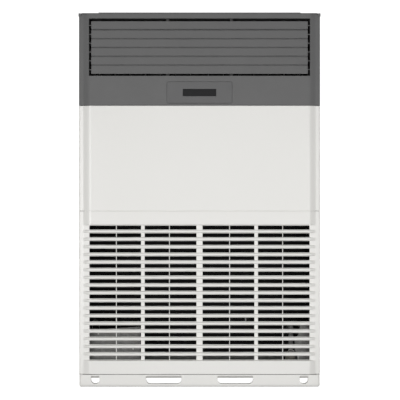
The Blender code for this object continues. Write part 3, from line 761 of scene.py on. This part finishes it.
# ================================================================ skirt
def base_plan():
    """Plan of the skirt, counter-clockwise from the middle of the front."""
    x, y, r = BASE_X, BASE_Y, BASE_R
    centres, points = [], []
    for cx, cy, start in ((x - r, -y + r, -90), (x - r, y - r, 0), (-x + r, y - r, 90),
                          (-x + r, -y + r, 180)):
        for k in range(13):
            a = math.radians(start + 90 * k / 12)
            points.append((cx + r * math.cos(a), cy + r * math.sin(a), math.cos(a), math.sin(a)))
    points = [(0.0, -y, 0.0, -1.0)] + points + [(0.0, -y, 0.0, -1.0)]
    table = np.array(points)
    s = np.concatenate([[0.0], np.cumsum(np.hypot(*np.diff(table[:, :2], axis=0).T))])
    return s, table


BASE_S, BASE_P = base_plan()
BASE_ROUND = float(BASE_S[-1])
ROLL = 0.008


def place_base(s, t, d):
    """t runs down the wall from its top edge, round the rolled edge and along the flange."""
    s = s % BASE_ROUND
    x, y, nx, ny = (np.interp(s, BASE_S, BASE_P[:, k]) for k in range(4))
    size = math.hypot(nx, ny)
    nx, ny = nx / size, ny / size
    wall = BASE_TOP - ROLL
    if t < wall:
        inset, z = d, BASE_TOP - t
    elif t < wall + ROLL * math.pi / 2:
        a = (t - wall) / ROLL
        inset, z = ROLL - (ROLL - d) * math.cos(a), ROLL - (ROLL - d) * math.sin(a)
    else:
        inset, z = ROLL + (t - wall - ROLL * math.pi / 2), d
    if inset > BASE_R - 1e-4:
        # past the corner's centre the flange is mitred
        cx = math.copysign(BASE_X - inset, x)
        cy = math.copysign(BASE_Y - inset, y)
        if abs(nx) > 1e-6 and abs(ny) > 1e-6:
            return (cx, cy, z)
    return (x - nx * inset, y - ny * inset, z)


def skirt(name, s0, s1, holes=()):
    wall = BASE_TOP - ROLL
    end = wall + ROLL * math.pi / 2 + 0.024
    cols = sorted({round(float(v), 6) for v in BASE_S[1:-1] if s0 < v < s1}
                  | {round(float(v) - BASE_ROUND, 6) for v in BASE_S[1:-1]
                     if s0 < v - BASE_ROUND < s1})
    rows = [wall + ROLL * math.pi / 2 * k / 6 for k in range(7)]
    # the plate is drawn with t downwards, so the outline is turned over
    loops = [[(s0, -end), (s1, -end), (s1, 0.0), (s0, 0.0)]] + [hole(h) for h in holes]
    return sheet(name, loops, lambda s, t, d: place_base(s, -t, d), BASE_WALL, 0.0006, cols,
                 [-v for v in rows], steps=2, back_radius=0.0004)


def foot_hole(x0, x1):
    radius = min(0.022, (x1 - x0) / 2 - 0.0002)
    low, high = 0.0166, 0.0560
    return (arc(x1 - radius, low + radius, radius, -90, 0, 10)
            + arc(x1 - 0.003, high - 0.003, 0.003, 0, 90, 3)
            + arc(x0 + 0.003, high - 0.003, 0.003, 90, 180, 3)
            + arc(x0 + radius, low + radius, radius, 180, 270, 10))


FOOT_HOLES = ((-0.5412, -0.4998), (-0.2665, -0.0905), (0.0905, 0.2665), (0.4998, 0.5412))
RETURN_Y = 0.150
front_half = (BASE_X - BASE_R) + BASE_R * math.pi / 2 + (BASE_Y - BASE_R - RETURN_Y)
back_mid = BASE_ROUND / 2
side_start, side_end = front_half + 0.0003, back_mid - front_half - 0.0003


def hole_loops(mid, turn=1):
    return [[(mid + x, z - BASE_TOP) for x, z in foot_hole(x0, x1)] for x0, x1 in FOOT_HOLES]


def tabs(name, side):
    """Stiffening strips turned in behind the top of each hole."""
    parts = []
    for x0, x1 in FOOT_HOLES:
        wall = BASE_Y - BASE_WALL + 0.0002
        section = fillet([(side * y, z) for y, z in (
            (wall, 0.0592), (wall, 0.0567), (wall - 0.0130, 0.0427), (wall - 0.0154, 0.0427),
            (wall - 0.0024, 0.0565), (wall - 0.0024, 0.0592))],
            [0.0002, 0.0008, 0.0006, 0.0006, 0.0012, 0.0002], 3)
        parts.append(extrusion(name, section, x0 - 0.004, x1 + 0.004, "X", 0.0004))
    return parts


def collars(name, side):
    """The metal turned in round each hole."""
    parts = []
    for x0, x1 in FOOT_HOLES:
        loop = foot_hole(x0, x1)
        turned = mitres(loop)
        inner = [tuple(p) for p in np.array(loop) - turned * 0.0001]
        outer = [tuple(p) for p in np.array(loop) - turned * 0.0014]
        parts.append(sheet(name, [outer, hole(inner)], lambda s, t, d: (
            s, side * (BASE_Y - BASE_WALL + 0.0003 - d), t), 0.0150, 0.0004, steps=2))
    return parts


add("skirt_front", skirt("skirt_front", -front_half, front_half, hole_loops(0.0)), SKIRT_PAINT,
    slot="white_paint", replaces=("base_front",))
add("skirt_back", skirt("skirt_back", back_mid - front_half, back_mid + front_half,
                        hole_loops(back_mid)), SKIRT_PAINT, slot="white_paint", replaces=("base_back",))
# painted shade: the metal turned in behind each hole is painted darker, standing for the shade in those
# recesses
for side, tag in ((-1, "front"), (1, "back")):
    add("skirt_turn_in_" + tag, joined("skirt_turn_in_" + tag, tabs("tab", side)
                                       + collars("collar", side)), TURN_IN_SHADE_PAINT, slot="white_paint")
add("skirt_right", skirt("skirt_right", side_start, side_end), SKIRT_PAINT, slot="white_paint",
    replaces=("base_right",))
add("skirt_left", skirt("skirt_left", -side_end, -side_start), SKIRT_PAINT, slot="white_paint",
    replaces=("base_left",))

# ================================================================ sheet metal and inside pieces
def softened(node, mat, slot, width=0.0006):
    """The node's shape with folded, rounded edges in place of sharp ones."""
    mesh = NODES[node].data.copy()
    mesh.name = node + "_soft"
    bm = bmesh.new()
    bm.from_mesh(mesh)
    bmesh.ops.remove_doubles(bm, verts=bm.verts, dist=0.00002)
    bmesh.ops.dissolve_degenerate(bm, edges=bm.edges, dist=1e-7)
    bm.to_mesh(mesh)
    bm.free()
    obj = add(node + "_soft", mesh, mat, slot=slot, replaces=(node,), weighted=False)
    bevel = obj.modifiers.new("edges", "BEVEL")
    bevel.width = width
    bevel.segments = 2
    bevel.limit_method = "ANGLE"
    bevel.angle_limit = math.radians(35)
    bevel.use_clamp_overlap = True
    bevel.harden_normals = False
    shade = obj.modifiers.new("normals", "WEIGHTED_NORMAL")
    shade.weight = 60
    return obj


for name, mat, slot in (
        ("side_panel_left", WHITE_PAINT, "white_paint"),
        ("side_panel_right", WHITE_PAINT, "white_paint"),
        ("back_panel", WHITE_PAINT, "white_paint"),
        ("head_side_left", GREY_PAINT, "grey_paint"),
        ("head_side_right", GREY_PAINT, "grey_paint"),
        ("head_back", GREY_PAINT, "grey_paint"),
        ("top_lid", GREY_PAINT, "grey_paint"),
        ("duct_side_left", GREY_PLASTIC, "grey_plastic"),
        ("duct_side_right", GREY_PLASTIC, "grey_plastic"),
        ("duct_floor", GREY_PLASTIC, "grey_plastic"),
        ("duct_roof", GREY_PLASTIC, "grey_plastic"),
        ("outlet_mullion_left", GREY_PLASTIC, "grey_plastic"),
        ("outlet_mullion_right", GREY_PLASTIC, "grey_plastic"),
        ("base_pan", ZINC, "galvanised"),
        ("middle_shelf", ZINC, "galvanised"),
        ("corner_post_left", ZINC, "galvanised"),
        ("corner_post_right", ZINC, "galvanised"),
        ("electrical_box", ZINC, "galvanised"),
        ("valve_plate", ZINC, "galvanised"),
        ("gas_pipe", LAGGING, "black_foam"),
        ("liquid_pipe", FOAM, "black_foam"),
        ("service_valve", BRASS, "brass"),
        ("sensor_clip", CLIP, "galvanised")):
    softened(name, mat, slot)

# ================================================================ small items behind the slots
def wire(name, points, radius, sides=10):
    """Thin round wire along a route, closed at both ends."""
    points = [Vector(p) for p in points]
    smoothed = [points[0]]
    for before, at, after in zip(points, points[1:], points[2:]):
        for k in range(5):
            u = k / 4
            a, b = at.lerp(before, 0.4), at.lerp(after, 0.4)
            smoothed.append(a * (1 - u) ** 2 + at * 2 * u * (1 - u) + b * u ** 2)
    smoothed.append(points[-1])
    verts, faces = [], []
    side = None
    for i, point in enumerate(smoothed):
        ahead = (smoothed[min(i + 1, len(smoothed) - 1)] - smoothed[max(i - 1, 0)]).normalized()
        if side is None:
            side = ahead.orthogonal().normalized()
        side = (side - ahead * side.dot(ahead)).normalized()
        up = ahead.cross(side)
        for k in range(sides):
            a = 2 * math.pi * k / sides
            verts.append(point + (side * math.cos(a) + up * math.sin(a)) * radius)
    for ring in range(len(smoothed) - 1):
        for k in range(sides):
            a, b, m = ring * sides, (ring + 1) * sides, (k + 1) % sides
            faces.append((a + k, a + m, b + m, b + k))
    faces.append(tuple(range(sides)))
    faces.append(tuple(range((len(smoothed) - 1) * sides, len(smoothed) * sides)))
    return mesh_of(name, verts, faces, weld=0)


add("valve_capillary", wire("valve_capillary", [
    (0.4445, -0.1120, 0.1560), (0.4490, -0.1275, 0.1670), (0.4600, -0.1290, 0.1790),
    (0.4725, -0.1300, 0.1712), (0.4790, -0.1365, 0.1680)], 0.0018), CAPILLARY, slot="galvanised")
add("plate_fold", extrusion("plate_fold", fillet([
    (0.4957, -0.1455), (0.5022, -0.1455), (0.5022, -0.1398), (0.4957, -0.1398)],
    [0.0012, 0.0012, 0.0004, 0.0004], 3), 0.0730, 0.1580, "Z", 0.0004), STEEL, slot="galvanised")
screws = []
for x, z in ((-0.5110, 0.2560), (-0.3350, 0.1800)):
    screws.append(turned_rod("box_screw", (x, -0.1436, z), "Y", [
        (0.0, 0.0040), (-0.0010, 0.0042), (-0.0020, 0.0037), (-0.0026, 0.0022)], 20))
add("box_screws", joined("box_screws", screws), STEEL, slot="galvanised")
add("box_lead", wire("box_lead", [
    (-0.5470, -0.0900, 0.2600), (-0.5450, -0.1330, 0.3235), (-0.5125, -0.1330, 0.3245),
    (-0.5100, -0.0900, 0.2600)], 0.0014), LAGGING, slot="black_foam")

# ================================================================ CAD nodes that stay
# base_seal takes the black foam as painted shade, a dark fill that makes the seam gap above the skirt read as
# shadow
for name in ("plenum_back", "plenum_roof", "plenum_floor", "plenum_left", "plenum_right",
             "foam_lining", "base_seal"):
    NODES[name].data.materials.clear()
    NODES[name].data.materials.append(FOAM)

# ================================================================ studio
def stage_floor():
    mesh = bpy.data.meshes.new("studio_floor")
    mesh.from_pydata([(-9, -9, -0.0005), (9, -9, -0.0005), (9, 9, -0.0005), (-9, 9, -0.0005)],
                     [], [(0, 1, 2, 3)])
    obj = bpy.data.objects.new("studio_floor", mesh)
    bpy.context.scene.collection.objects.link(obj)
    mat = bpy.data.materials.new("studio_floor")
    mat.use_nodes = True
    shader = mat.node_tree.nodes["Principled BSDF"]
    grain = mat.node_tree.nodes.new("ShaderNodeTexNoise")
    grain.inputs["Scale"].default_value = 3.0
    tint = mat.node_tree.nodes.new("ShaderNodeMapRange")
    tint.inputs["To Min"].default_value = 0.84
    tint.inputs["To Max"].default_value = 0.86
    mat.node_tree.links.new(grain.outputs["Fac"], tint.inputs["Value"])
    mat.node_tree.links.new(tint.outputs["Result"], shader.inputs["Base Color"])
    shader.inputs["Roughness"].default_value = 0.9
    shader.inputs["Specular IOR Level"].default_value = 0.1
    shader.inputs["Emission Color"].default_value = (1.0, 1.0, 1.0, 1.0)
    shader.inputs["Emission Strength"].default_value = 1.05
    mesh.materials.append(mat)
    # the floor is seen, but lights only come from the lamps and the sky
    obj.visible_diffuse = False
    obj.visible_glossy = False
    obj.visible_shadow = False


stage_floor()


def world():
    sky = bpy.data.worlds.new("studio")
    bpy.context.scene.world = sky
    sky.use_nodes = True
    tree = sky.node_tree
    out = tree.nodes["Background"]
    where = tree.nodes.new("ShaderNodeTexCoord")
    axes = tree.nodes.new("ShaderNodeSeparateXYZ")
    level = tree.nodes.new("ShaderNodeMapRange")
    level.interpolation_type = "SMOOTHSTEP"
    level.inputs["From Min"].default_value = -0.40
    level.inputs["From Max"].default_value = 0.35
    level.inputs["To Min"].default_value = 0.18
    level.inputs["To Max"].default_value = 1.14
    tree.links.new(where.outputs["Generated"], axes.inputs["Vector"])
    tree.links.new(axes.outputs["Y"], level.inputs["Value"])
    tree.links.new(level.outputs["Result"], out.inputs["Strength"])
    out.inputs["Color"].default_value = (1.0, 1.0, 1.0, 1.0)


world()


def area_light(name, where, aim, size, watts, colour=(1.0, 1.0, 1.0)):
    data = bpy.data.lights.new(name, "AREA")
    data.shape = "RECTANGLE"
    data.size, data.size_y = size
    data.energy = watts
    data.color = colour
    obj = bpy.data.objects.new(name, data)
    obj.location = where
    obj.rotation_euler = (Vector(aim) - Vector(where)).to_track_quat("-Z", "Y").to_euler()
    bpy.context.scene.collection.objects.link(obj)


area_light("key", (0.30, -5.6, 0.58), (0.0, -0.2, 0.64), (2.9, 4.9), 103.8)
area_light("left", (-1.98, -4.3, 0.74), (0.0, -0.2, 0.74), (0.75, 3.0), 61.0)
area_light("right", (1.98, -4.3, 0.74), (0.0, -0.2, 0.74), (0.75, 3.0), 39.0)

scene = bpy.context.scene
scene.view_settings.view_transform = "Standard"
scene.view_settings.look = "None"
scene.view_settings.exposure = 0.0
scene.view_settings.gamma = 1.0

camera_data = bpy.data.cameras.new("camera")
camera_data.sensor_width = 36.0
camera_data.lens = 75.98
camera_data.clip_end = 60.0
camera = bpy.data.objects.new("camera", camera_data)
camera.location = (0.0025, -4.41, 0.933)
camera.rotation_euler = (math.radians(90), 0.0, 0.0)
scene.collection.objects.link(camera)
scene.camera = camera
